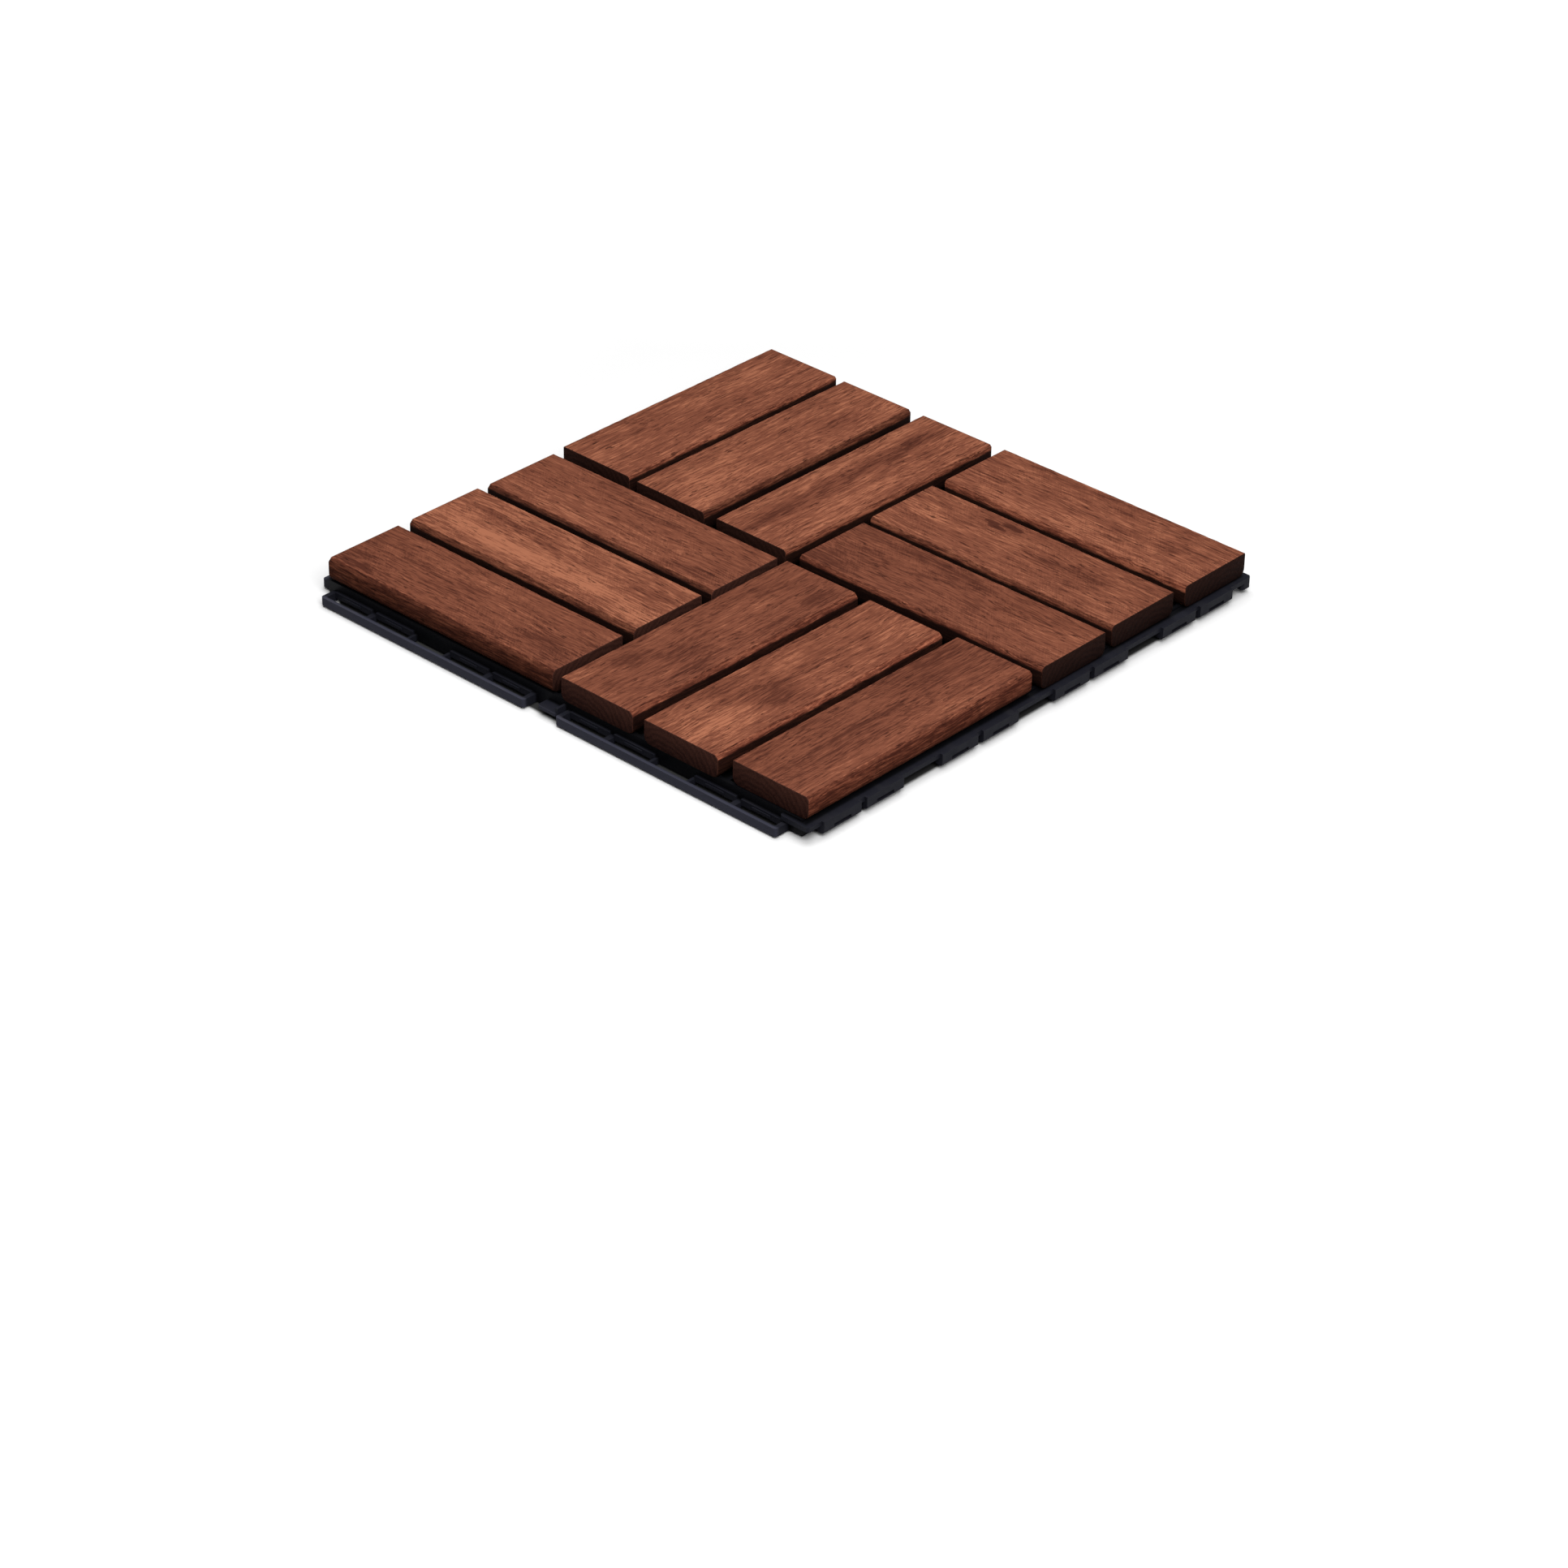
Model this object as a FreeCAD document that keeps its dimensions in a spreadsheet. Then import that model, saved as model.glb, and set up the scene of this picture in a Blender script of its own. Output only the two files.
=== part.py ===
import FreeCAD, Part
import math
import os
import Sketcher

# Interlocking deck tile: twelve hardwood slats in a four-square parquet, screwed from below
# to one moulded plastic base that clips to its neighbours.
# Millimetres. The origin is at the centre of the tile's square, on the ground; Z is up.
# Socket sides face -Y and -X, lug sides face +X and +Y. Seen from above, the quarters are
# left (-X -Y), front (+X -Y), right (+X +Y) and back (-X +Y).

# Slats in a quarter, lines of slats across the tile, and pairs of lugs or of sockets on a side.
QUARTER = 3
LINES = 2 * QUARTER
PAIRS = 4
# Sides of the bosses, bores and screws. They are small, many and hidden, so each has few faces.
SIDES = 6

# Every size that can be set by itself: name, value, what it measures.
SIZES = [
    ("slat_width", 44.5, "width of a slat"),
    ("slat_gap", 6.6, "open gap between neighbouring slats"),
    ("slat_thick", 11.8, "thickness of a slat"),
    ("round_top", 1.8, "radius along a slat's upper long edges"),
    ("round_low", 3.4, "radius along a slat's lower long edges"),
    ("base_height", 9.2, "height of the slats' underside above the ground"),
    ("foot_height", 1.0, "height of the feet below the ribs"),
    ("foot_width", 8.0, "side of a square foot"),
    ("rib_thick", 2.0, "thickness of a lattice rib"),
    ("wall_thick", 2.0, "thickness of the wall round the base"),
    ("socket_inset", 0.5, "wall of a socket side, inside the slats' edge"),
    ("lug_inset", 2.5, "wall of a lug side, inside the slats' edge"),
    ("pair_pitch", 76.5, "spacing of the pairs of lugs and of sockets"),
    ("row_shift", -3.0, "shift of each row of pairs along its side"),
    ("cell_length", 24.4, "length of one socket"),
    ("divider_thick", 3.0, "rib between the two sockets of a pair"),
    ("pair_rib", 1.6, "rib that closes a pair inside its rail"),
    ("divider_drop", 1.2, "dividers below the top of the rail"),
    ("rail_reach", 8.2, "outer face of a rail, beyond the slats' edge"),
    ("rail_thick", 1.8, "thickness of a rail's outer wall"),
    ("rail_end", 2.4, "thickness of a rail's end wall"),
    ("rail_top", 5.2, "top of a rail above the ground"),
    ("rail_low", 1.1, "underside of a rail above the ground"),
    ("rail_round", 1.5, "radius of a rail's upright corners"),
    ("keeper_reach", 1.3, "face of the keeper behind a socket, beyond the slats' edge"),
    ("keeper_low", 2.6, "underside of the keeper above the ground"),
    ("keeper_top", 5.6, "top of the keeper above the ground"),
    ("snap_reach", 0.6, "snap ridge proud of the keeper"),
    ("snap_play", 0.15, "room round the snap ridge in a lug's slot"),
    ("lug_play", 0.3, "room at each end of a lug in its socket"),
    ("lug_reach", 4.5, "outer face of a lug, beyond the slats' edge"),
    ("lug_thick", 4.4, "thickness of a lug"),
    ("lug_low", 2.4, "underside of a lug above the ground"),
    ("lug_bevel", 0.8, "bevel along a lug's lower outer edge"),
    ("slot_length", 11.0, "length of the snap slot in a lug"),
    ("slot_high", 1.6, "height of the snap slot"),
    ("slot_low", 3.4, "underside of the snap slot above the ground"),
    ("slot_deep", 1.0, "depth of the snap slot"),
    ("flange_reach", 3.0, "edge of the lug sides' flange, beyond the slats' edge"),
    ("flange_drop", 0.8, "top of the flange below the slats' underside"),
    ("flange_thick", 2.3, "thickness of the flange"),
    ("return_reach", 2.0, "flange's return round its free corner, beyond the slats' edge"),
    ("return_length", 13.5, "length of that return"),
    ("corner_bevel", 1.0, "bevel of the flange's and the small plates' upright corners"),
    ("corner_lug", 6.0, "side of the small lug at the lug sides' corner"),
    ("corner_lug_low", 2.8, "underside of that lug above the ground"),
    ("bridge_width", 12.0, "width of the plate between a side's two rails"),
    ("bridge_reach", 6.5, "edge of that plate, beyond the slats' edge"),
    ("bridge_thick", 1.6, "thickness of that plate"),
    ("ridge_thick", 1.3, "thickness of the upright ridge on that plate"),
    ("ridge_high", 2.3, "height of the ridge above the plate"),
    ("boss_width", 11.0, "width of a screw boss across its flats"),
    ("screw_seat", 4.0, "seat of a screw's head above the ground"),
    ("screw_bite", 7.0, "length of a screw inside its slat"),
    ("screw_width", 3.4, "width of a screw's shank"),
    ("screw_point", 2.6, "length of a screw's tapered point"),
    ("head_width", 7.4, "width of a screw's head"),
    ("head_high", 2.3, "height of a screw's head"),
    ("shank_play", 0.3, "room round the shank in the boss"),
    ("head_play", 0.5, "room round the head in the boss"),
    ("pilot_play", 0.05, "room round the shank in the slat"),
    ("pilot_extra", 0.5, "pilot hole past the screw's point"),
]

# The slats are set by hand: name, the axis it runs along, the side of the tile's middle it
# lies on along and across that axis, its place counted from the middle of the tile, and how
# far it sits off its line across and along.
SLATS = [
    ("slat_left_outer", "X", -1, -1, 2, 0.0, 0.8),
    ("slat_left_middle", "X", -1, -1, 1, 0.0, 1.0),
    ("slat_left_inner", "X", -1, -1, 0, -1.6, 2.0),
    ("slat_back_outer", "Y", 1, -1, 2, 0.0, 0.0),
    ("slat_back_middle", "Y", 1, -1, 1, -1.1, -0.8),
    ("slat_back_inner", "Y", 1, -1, 0, 0.0, -0.8),
    ("slat_right_outer", "X", 1, 1, 2, 0.3, 0.8),
    ("slat_right_middle", "X", 1, 1, 1, -0.6, 0.0),
    ("slat_right_inner", "X", 1, 1, 0, 0.4, 1.0),
    ("slat_front_outer", "Y", -1, 1, 2, 0.0, 1.5),
    ("slat_front_middle", "Y", -1, 1, 1, 0.4, -1.0),
    ("slat_front_inner", "Y", -1, 1, 0, 0.0, -0.6),
]


class Size:
    """A length that carries its value and the formula that gives it from the sheet."""

    def __init__(self, text, value):
        self.text = text
        self.value = value

    def joined(self, sign, other, value, turned=False):
        other_text = other.text if isinstance(other, Size) else str(other)
        pair = (other_text, self.text) if turned else (self.text, other_text)
        return Size("(%s %s %s)" % (pair[0], sign, pair[1]), value)

    def __add__(self, other):
        return self.joined("+", other, self.value + number(other))

    def __radd__(self, other):
        return self.joined("+", other, other + self.value, turned=True)

    def __sub__(self, other):
        return self.joined("-", other, self.value - number(other))

    def __rsub__(self, other):
        return self.joined("-", other, other - self.value, turned=True)

    def __mul__(self, other):
        return self.joined("*", other, self.value * number(other))

    def __rmul__(self, other):
        return self.joined("*", other, self.value * number(other), turned=True)

    def __truediv__(self, other):
        return self.joined("/", other, self.value / number(other))

    def __neg__(self):
        return Size("(0 - %s)" % self.text, -self.value)


def number(thing):
    return thing.value if isinstance(thing, Size) else thing


class Sizes:
    """The sheet's sizes by name, and the lengths that follow from them."""

    def __init__(self, doc):
        self.sheet = doc.addObject("Spreadsheet::Sheet", "sizes")
        self.row = 0
        for name, value, meaning in SIZES:
            self.add(name, value, meaning)
        for name, *_, off_across, off_along in SLATS:
            self.add(name + "_across", off_across, "this slat off its line")
            self.add(name + "_along", off_along, "this slat off its place along its line")
        doc.recompute()
        self.pitch = self.slat_width + self.slat_gap
        self.slat_length = QUARTER * self.slat_width + (QUARTER - 1) * self.slat_gap
        self.half = (LINES * self.slat_width + (LINES - 1) * self.slat_gap) / 2
        self.first_line = self.pitch / 2
        self.last_line = (LINES - 1) * self.pitch / 2

    def add(self, name, value, meaning):
        self.row += 1
        self.sheet.set("A%d" % self.row, meaning)
        self.sheet.set("B%d" % self.row, str(value))
        self.sheet.setAlias("B%d" % self.row, name)
        setattr(self, name, Size("sizes." + name, value))


def bind(thing, prop, size):
    thing.setExpression(prop, size.text if isinstance(size, Size) else str(size))


# Sketches and features

def new_body(doc, label):
    body = doc.addObject("PartDesign::Body", label)
    body.Label = label
    body.AllowCompound = True
    return body


def new_sketch(body, name, plane="XY_Plane", lift=0):
    sketch = body.newObject("Sketcher::SketchObject", name)
    features = body.Origin.OriginFeatures
    sketch.AttachmentSupport = [([f for f in features if f.Role == plane][0], "")]
    sketch.MapMode = "FlatFace"
    bind(sketch, "AttachmentOffset.Base.z", lift)
    return sketch


def hold(sketch, geometry, end, x, y):
    """Place one end of a sketch line at x, y from the origin."""
    for kind, size in (("DistanceX", x), ("DistanceY", y)):
        index = sketch.addConstraint(Sketcher.Constraint(kind, -1, 1, geometry, end, number(size)))
        bind(sketch, "Constraints[%d]" % index, size)


def outline(sketch, corners):
    """A closed outline of square corners (x, y) or rounded ones (x, y, radius)."""
    count = len(corners)
    ends = []
    for i, corner in enumerate(corners):
        x, y = corner[0], corner[1]
        if len(corner) == 2:
            ends.append(((x, y), (x, y), None))
            continue
        last, following, radius = corners[i - 1], corners[(i + 1) % count], corner[2]
        into = direction(last, corner)
        out = direction(corner, following)
        start = (x - into[0] * radius, y - into[1] * radius)
        end = (x + out[0] * radius, y + out[1] * radius)
        ends.append((start, end, (into, out, radius)))
    lines = []
    for i in range(count):
        start, end = ends[i][1], ends[(i + 1) % count][0]
        lines.append(sketch.addGeometry(Part.LineSegment(point(start), point(end)), False))
    for i in range(count):
        before, after = lines[i - 1], lines[i]
        hold(sketch, after, 1, *ends[i][1])
        if ends[i][2] is None:
            sketch.addConstraint(Sketcher.Constraint("Coincident", before, 2, after, 1))
            continue
        hold(sketch, before, 2, *ends[i][0])
        add_round(sketch, ends[i], before, after)


def direction(a, b):
    dx, dy = number(b[0]) - number(a[0]), number(b[1]) - number(a[1])
    length = math.hypot(dx, dy)
    return round(dx / length), round(dy / length)


def point(pair):
    return FreeCAD.Vector(number(pair[0]), number(pair[1]), 0)


def add_round(sketch, ends, before, after):
    """Join two held lines by a quarter arc."""
    start, end, (into, out, radius) = ends
    centre = point(start) + FreeCAD.Vector(out[0], out[1], 0) * radius.value
    turns_left = into[0] * out[1] - into[1] * out[0] > 0
    first, second = (start, end) if turns_left else (end, start)
    angles = [math.atan2(*reversed(tuple(point(p) - centre)[:2])) for p in (first, second)]
    if angles[1] < angles[0]:
        angles[1] += 2 * math.pi
    circle = Part.Circle(centre, FreeCAD.Vector(0, 0, 1), radius.value)
    arc = sketch.addGeometry(Part.ArcOfCircle(circle, angles[0], angles[1]), False)
    near, far = (1, 2) if turns_left else (2, 1)
    sketch.addConstraint(Sketcher.Constraint("Coincident", before, 2, arc, near))
    sketch.addConstraint(Sketcher.Constraint("Coincident", after, 1, arc, far))
    index = sketch.addConstraint(Sketcher.Constraint("Radius", arc, radius.value))
    bind(sketch, "Constraints[%d]" % index, radius)


def bevelled(corners):
    """The same corners, each one that has a size (x, y, size) cut off straight."""
    cut = []
    for i, corner in enumerate(corners):
        if len(corner) == 2:
            cut.append(corner)
            continue
        x, y, size = corner
        into = direction(corners[i - 1], corner)
        out = direction(corner, corners[(i + 1) % len(corners)])
        cut.append((x - into[0] * size, y - into[1] * size))
        cut.append((x + out[0] * size, y + out[1] * size))
    return cut


def box_outline(sketch, x0, x1, y0, y1):
    outline(sketch, [(x0, y0), (x1, y0), (x1, y1), (x0, y1)])


def corners_round(x, y, width):
    """Corners of a regular outline round x, y that is width across its flats."""
    spread = 0.5 / math.cos(math.pi / SIDES)
    angles = [2 * math.pi * (i + 0.5) / SIDES for i in range(SIDES)]
    return [(x + width * (spread * math.cos(a)), y + width * (spread * math.sin(a))) for a in angles]


def pad(body, sketch, name, length, both_ways=False):
    feature = body.newObject("PartDesign::Pad", name)
    feature.Profile = sketch
    if both_ways:
        feature.Midplane = True
    bind(feature, "Length", length)
    body.Document.recompute()
    return feature


def cut_up(body, sketch, name, depth):
    """Cut from the sketch upwards, and stop if nothing was cut."""
    before = body.Shape.Volume
    feature = body.newObject("PartDesign::Pocket", name)
    feature.Profile = sketch
    feature.Reversed = True
    bind(feature, "Length", depth)
    body.Document.recompute()
    if body.Shape.Volume > before - 0.01:
        raise RuntimeError("nothing was cut by " + name)
    return feature


def row(body, name, originals, sketch, axis, length, count):
    feature = body.newObject("PartDesign::LinearPattern", name)
    feature.Originals = originals
    feature.Direction = (sketch, [axis])
    feature.Occurrences = count
    bind(feature, "Length", length)
    body.Tip = feature
    body.Document.recompute()
    return feature


def repeat(body, name, originals, sketch, steps, turns=1):
    """Repeat features in rows (axis, length, count) and then by turns round the tile's middle."""
    feature = body.newObject("PartDesign::MultiTransform", name)
    patterns = []
    for axis, length, count in steps:
        step = body.newObject("PartDesign::LinearPattern", "%s_row_%d" % (name, len(patterns) + 1))
        step.Direction = (sketch, [axis])
        step.Occurrences = count
        bind(step, "Length", length)
        patterns.append(step)
    if turns > 1:
        step = body.newObject("PartDesign::PolarPattern", name + "_turns")
        step.Axis = (sketch, ["N_Axis"])
        step.Angle = 360
        step.Occurrences = turns
        patterns.append(step)
    feature.Originals = originals
    feature.Transformations = patterns
    body.Tip = feature
    body.Document.recompute()


# The moulded base, one piece

def base_frame(body, s):
    """The wall round the base, nearer the slats' edge on the socket sides."""
    sketch = new_sketch(body, "frame_outline", lift=s.foot_height)
    low, high = s.socket_inset - s.half, s.half - s.lug_inset
    box_outline(sketch, low, high, low, high)
    box_outline(sketch, low + s.wall_thick, high - s.wall_thick,
                low + s.wall_thick, high - s.wall_thick)
    pad(body, sketch, "frame", s.base_height - s.foot_height)


def side_flange(body, s):
    """The thin flange under the slats' edge on a lug side, with the corner lug."""
    under = s.base_height - s.flange_drop - s.flange_thick
    sketch = new_sketch(body, "flange_outline", lift=under)
    wall = s.half - s.lug_inset - s.wall_thick
    edge, end = s.half + s.flange_reach, -s.half - s.return_reach
    outline(sketch, bevelled([
        (s.half - s.return_length, end, s.corner_bevel),
        (edge, end, s.corner_bevel),
        (edge, edge, s.corner_bevel),
        (wall, edge),
        (wall, s.socket_inset - s.half + s.wall_thick),
        (s.half - s.return_length, s.socket_inset - s.half + s.wall_thick),
    ]))
    pad(body, sketch, "flange", s.flange_thick)
    sketch = new_sketch(body, "corner_lug_outline", lift=s.corner_lug_low)
    back = edge - s.corner_lug
    outline(sketch, bevelled([(back, back), (edge, back, s.corner_bevel),
                              (edge, edge, s.corner_bevel), (back, edge, s.corner_bevel)]))
    pad(body, sketch, "corner_lug", s.base_height - s.flange_drop - s.corner_lug_low)


def side_lugs(body, s):
    """Four pairs of hooked lugs with snap slots, hung from the flange of a lug side."""
    length = s.cell_length - 2 * s.lug_play
    first_pair = s.row_shift - (PAIRS - 1) * s.pair_pitch / 2
    start = first_pair - s.divider_thick / 2 - s.lug_play - length
    sketch = new_sketch(body, "lug_profile", plane="XZ_Plane", lift=-start - length)
    outer, inner = s.half + s.lug_reach, s.half + s.lug_reach - s.lug_thick
    top = s.base_height - s.flange_drop
    outline(sketch, bevelled([(inner, s.lug_low), (outer, s.lug_low, s.lug_bevel), (outer, top),
                              (inner, top)]))
    lug = pad(body, sketch, "lug", length)
    slot_start = start + (length - s.slot_length) / 2
    sketch = new_sketch(body, "slot_outline", lift=s.slot_low)
    box_outline(sketch, outer - s.slot_deep, outer + s.slot_deep, slot_start, slot_start + s.slot_length)
    slot = cut_up(body, sketch, "slot", s.slot_high)
    step = length + 2 * s.lug_play + s.divider_thick
    repeat(body, "lugs", [lug, slot], sketch,
           [("V_Axis", step, 2), ("V_Axis", (PAIRS - 1) * s.pair_pitch, PAIRS)])


def side_sockets(body, s):
    """A socket side's two rails, each with two pairs of open sockets and their snap ridges."""
    wall = s.half - s.socket_inset
    outer, inner = s.half + s.rail_reach, s.half + s.rail_reach - s.rail_thick
    middle = s.row_shift - s.pair_pitch
    pairs = [middle - s.pair_pitch / 2, middle + s.pair_pitch / 2]
    reach = s.divider_thick / 2 + s.cell_length
    end = s.pair_pitch / 2 + reach + s.rail_end
    cells = []
    for pair in pairs:
        cells.append((pair - reach, pair - s.divider_thick / 2))
        cells.append((pair + s.divider_thick / 2, pair + reach))
    centre_hole = (pairs[0] + reach + s.pair_rib, pairs[1] - reach - s.pair_rib)

    sketch = new_sketch(body, "rail_outline", lift=s.rail_low)
    outline(sketch, [
        (middle - end, -outer, s.rail_round), (middle + end, -outer, s.rail_round),
        (middle + end, s.wall_thick / 2 - wall), (middle - end, s.wall_thick / 2 - wall)])
    for x0, x1 in cells + [centre_hole]:
        box_outline(sketch, x0, x1, -inner, -wall)
    rail = pad(body, sketch, "rail", s.rail_top - s.rail_low)

    sketch = new_sketch(body, "divider_tops", lift=s.rail_top - s.divider_drop)
    for pair in pairs:
        box_outline(sketch, pair - s.divider_thick / 2, pair + s.divider_thick / 2, -inner, -wall)
    box_outline(sketch, cells[1][1], centre_hole[0], -inner, -wall)
    box_outline(sketch, centre_hole[1], cells[2][0], -inner, -wall)
    lowered = cut_up(body, sketch, "lowered_dividers", s.divider_drop)

    face = s.half + s.keeper_reach
    sketch = new_sketch(body, "keeper_outline", lift=s.keeper_low)
    for x0, x1 in cells:
        box_outline(sketch, x0, x1, -face, s.wall_thick / 2 - wall)
    keeper = pad(body, sketch, "keeper", s.keeper_top - s.keeper_low)

    trim = (s.cell_length - s.slot_length) / 2 + s.snap_play
    sketch = new_sketch(body, "snap_outline", lift=s.slot_low + s.snap_play)
    for x0, x1 in cells:
        box_outline(sketch, x0 + trim, x1 - trim, -face - s.snap_reach, s.wall_thick / 2 - face)
    snap = pad(body, sketch, "snap_ridge", s.slot_high - 2 * s.snap_play)
    row(body, "sockets", [rail, lowered, keeper, snap], sketch, "H_Axis", 2 * s.pair_pitch, 2)


def side_bridge(body, s):
    """The small plate between the two rails of a socket side, with its upright ridge."""
    wall, half_width = s.half - s.socket_inset, s.bridge_width / 2
    edge = -s.half - s.bridge_reach
    sketch = new_sketch(body, "bridge_outline", lift=s.rail_top - s.bridge_thick)
    outline(sketch, bevelled([
        (-half_width, edge, s.corner_bevel), (half_width, edge, s.corner_bevel),
        (half_width, s.wall_thick / 2 - wall), (-half_width, s.wall_thick / 2 - wall)]))
    pad(body, sketch, "bridge", s.bridge_thick)
    sketch = new_sketch(body, "ridge_outline", lift=s.rail_top)
    box_outline(sketch, half_width - s.ridge_thick, half_width,
                edge + s.corner_bevel, s.wall_thick / 2 - wall)
    pad(body, sketch, "ridge", s.ridge_high)


def base_lattice(body, s):
    """Ribs both ways: one under each slat's middle line and one under each gap."""
    low = s.socket_inset - s.half + s.wall_thick / 2
    high = s.half - s.lug_inset - s.wall_thick / 2
    first = -s.last_line
    ribs = (
        ("rib_across", "V_Axis", (low, high, first - s.rib_thick / 2, first + s.rib_thick / 2)),
        ("rib_along", "H_Axis", (first - s.rib_thick / 2, first + s.rib_thick / 2, low, high)),
    )
    for name, axis, edges in ribs:
        sketch = new_sketch(body, name + "_outline", lift=s.foot_height)
        box_outline(sketch, *edges)
        rib = pad(body, sketch, name, s.base_height - s.foot_height)
        row(body, name + "_row", [rib], sketch, axis, 2 * s.last_line, 2 * LINES - 1)


def at_each_screw(body, s, name, originals, sketch):
    """Repeat what the corner's screw has: two screws on each slat's middle line, in each quarter."""
    length = (QUARTER - 1) * s.pitch
    repeat(body, name, originals, sketch, [("H_Axis", length, 2), ("V_Axis", length, QUARTER)], turns=4)


def base_bosses(body, s):
    """A boss for each screw, and square feet under the crossings of the gaps."""
    sketch = new_sketch(body, "boss_outline", lift=s.foot_height)
    outline(sketch, corners_round(-s.last_line, -s.last_line, s.boss_width))
    boss = pad(body, sketch, "boss", s.base_height - s.foot_height)
    at_each_screw(body, s, "bosses", [boss], sketch)
    sketch = new_sketch(body, "foot_outline")
    length = (LINES - 2) * s.pitch
    low, high = -(length + s.foot_width) / 2, (s.foot_width - length) / 2
    box_outline(sketch, low, high, low, high)
    foot = pad(body, sketch, "foot", s.foot_height)
    repeat(body, "feet", [foot], sketch, [("H_Axis", length, LINES - 1), ("V_Axis", length, LINES - 1)])


def base_bores(body, s):
    """What each boss's counterbored hole takes away, from the ground up."""
    sketch = new_sketch(body, "shank_hole_outline")
    outline(sketch, corners_round(-s.last_line, -s.last_line, s.screw_width + 2 * s.shank_play))
    shank_hole = pad(body, sketch, "shank_hole", s.base_height)
    sketch = new_sketch(body, "head_hole_outline")
    outline(sketch, corners_round(-s.last_line, -s.last_line, s.head_width + 2 * s.head_play))
    head_hole = pad(body, sketch, "head_hole", s.screw_seat)
    at_each_screw(body, s, "bores", [shank_hole, head_hole], sketch)


def moulded_base(doc, s):
    """The middle with its bosses, and a lug side and a socket side repeated across the diagonal."""
    makers = (
        ("base_middle", (base_frame, base_lattice)),
        ("base_bosses", (base_bosses,)),
        ("base_sides", (side_flange, side_lugs, side_sockets, side_bridge)),
        ("base_bores", (base_bores,)),
    )
    bodies = []
    for label, steps in makers:
        body = new_body(doc, label)
        for step in steps:
            step(body, s)
        bodies.append(body)
    middle, bosses, sides, bores = bodies
    across = doc.addObject("Part::Mirroring", "base_sides_across")
    across.Source = sides
    across.Normal = FreeCAD.Vector(1, -1, 0)
    whole = doc.addObject("Part::MultiFuse", "base_before_boring")
    whole.Shapes = [middle, bosses, sides, across]
    base = doc.addObject("Part::Cut", "moulded_base")
    base.Label = "moulded_base"
    base.Base = whole
    base.Tool = bores
    base.Refine = True
    base.Placement = FreeCAD.Placement()
    doc.recompute()
    if base.Shape.Volume > whole.Shape.Volume - 0.01:
        raise RuntimeError("the bores cut nothing")
    return base


# Slats and screws

def slat(doc, s, name, axis, along, across, place, off_across, off_along):
    """One slat, made lengthwise on X with its underside at zero, then set in its place."""
    body = new_body(doc, name)
    sketch = new_sketch(body, name + "_section", plane="YZ_Plane")
    side, top = s.slat_width / 2, s.slat_thick
    outline(sketch, [(-side, 0, s.round_low), (side, 0, s.round_low),
                     (side, top, s.round_top), (-side, top, s.round_top)])
    pad(body, sketch, name + "_bar", s.slat_length, both_ways=True)

    shift_across, shift_along = getattr(s, name + "_across"), getattr(s, name + "_along")
    turned = axis == "Y"
    hole_line = shift_across if turned else -shift_across
    sketch = new_sketch(body, name + "_pilots")
    for side_of_middle in (-1, 1):
        outline(sketch, corners_round(side_of_middle * s.pitch - shift_along, hole_line,
                                      s.screw_width + 2 * s.pilot_play))
    cut_up(body, sketch, name + "_pilot_holes", s.screw_bite + s.pilot_extra)

    middle_along = along * (s.slat_gap + s.slat_length) / 2 + shift_along
    middle_across = across * (s.first_line + place * s.pitch) + shift_across
    places = (middle_across, middle_along) if turned else (middle_along, middle_across)
    bind(body, "Placement.Base.x", places[0])
    bind(body, "Placement.Base.y", places[1])
    bind(body, "Placement.Base.z", s.base_height)
    if turned:
        bind(body, "Placement.Rotation.Angle", 90)
    doc.recompute()
    return body


def wood_screw(s, x, y):
    """A screw at x, y, head down, as a stack of rings of corners with a point on top."""
    head, shank = s.head_width.value, s.screw_width.value
    seat, tip = s.screw_seat.value, s.base_height.value + s.screw_bite.value
    levels = [
        (head, seat - s.head_high.value),
        (head, seat),
        (shank, seat),
        (shank, tip - s.screw_point.value),
    ]
    rings = []
    for width, height in levels:
        rings.append([FreeCAD.Vector(a, b, height) for a, b in corners_round(x, y, width)])
    outlines = [rings[0]]
    for i in range(SIDES):
        j = (i + 1) % SIDES
        for low, high in zip(rings, rings[1:]):
            outlines.append([low[i], low[j], high[j], high[i]])
        outlines.append([rings[-1][i], rings[-1][j], FreeCAD.Vector(x, y, tip)])
    faces = [Part.Face(Part.makePolygon(corners + corners[:1])) for corners in outlines]
    screw = Part.makeSolid(Part.makeShell(faces))
    if screw.Volume < 0:
        screw.reverse()
    return screw


def slat_screws(doc, s):
    """Two screws on the middle line of each slat of a quarter, turned round the tile's middle."""
    lines = [-s.first_line.value - i * s.pitch.value for i in range(QUARTER)]
    screws = []
    for x in (lines[0], lines[-1]):
        for y in lines:
            screw = wood_screw(s, x, y)
            for quarter in range(4):
                copy = screw.copy()
                copy.rotate(FreeCAD.Vector(0, 0, 0), FreeCAD.Vector(0, 0, 1), 90 * quarter)
                screws.append(copy)
    feature = doc.addObject("Part::Feature", "slat_screws")
    feature.Label = "slat_screws"
    feature.Shape = Part.makeCompound(screws)
    feature.Placement = FreeCAD.Placement()
    return feature


def check(doc, pieces):
    """Stop before writing anything if a feature failed or a piece isn't sound."""
    for thing in doc.Objects:
        if {"Invalid", "Error"} & set(thing.State):
            raise RuntimeError("failed: %s %s" % (thing.Name, thing.State))
    for piece in pieces:
        if piece.Shape.isNull() or not piece.Shape.isValid():
            raise RuntimeError("not sound: " + piece.Label)
        if piece.Label != "slat_screws" and len(piece.Shape.Solids) != 1:
            raise RuntimeError("not one solid: " + piece.Label)


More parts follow.
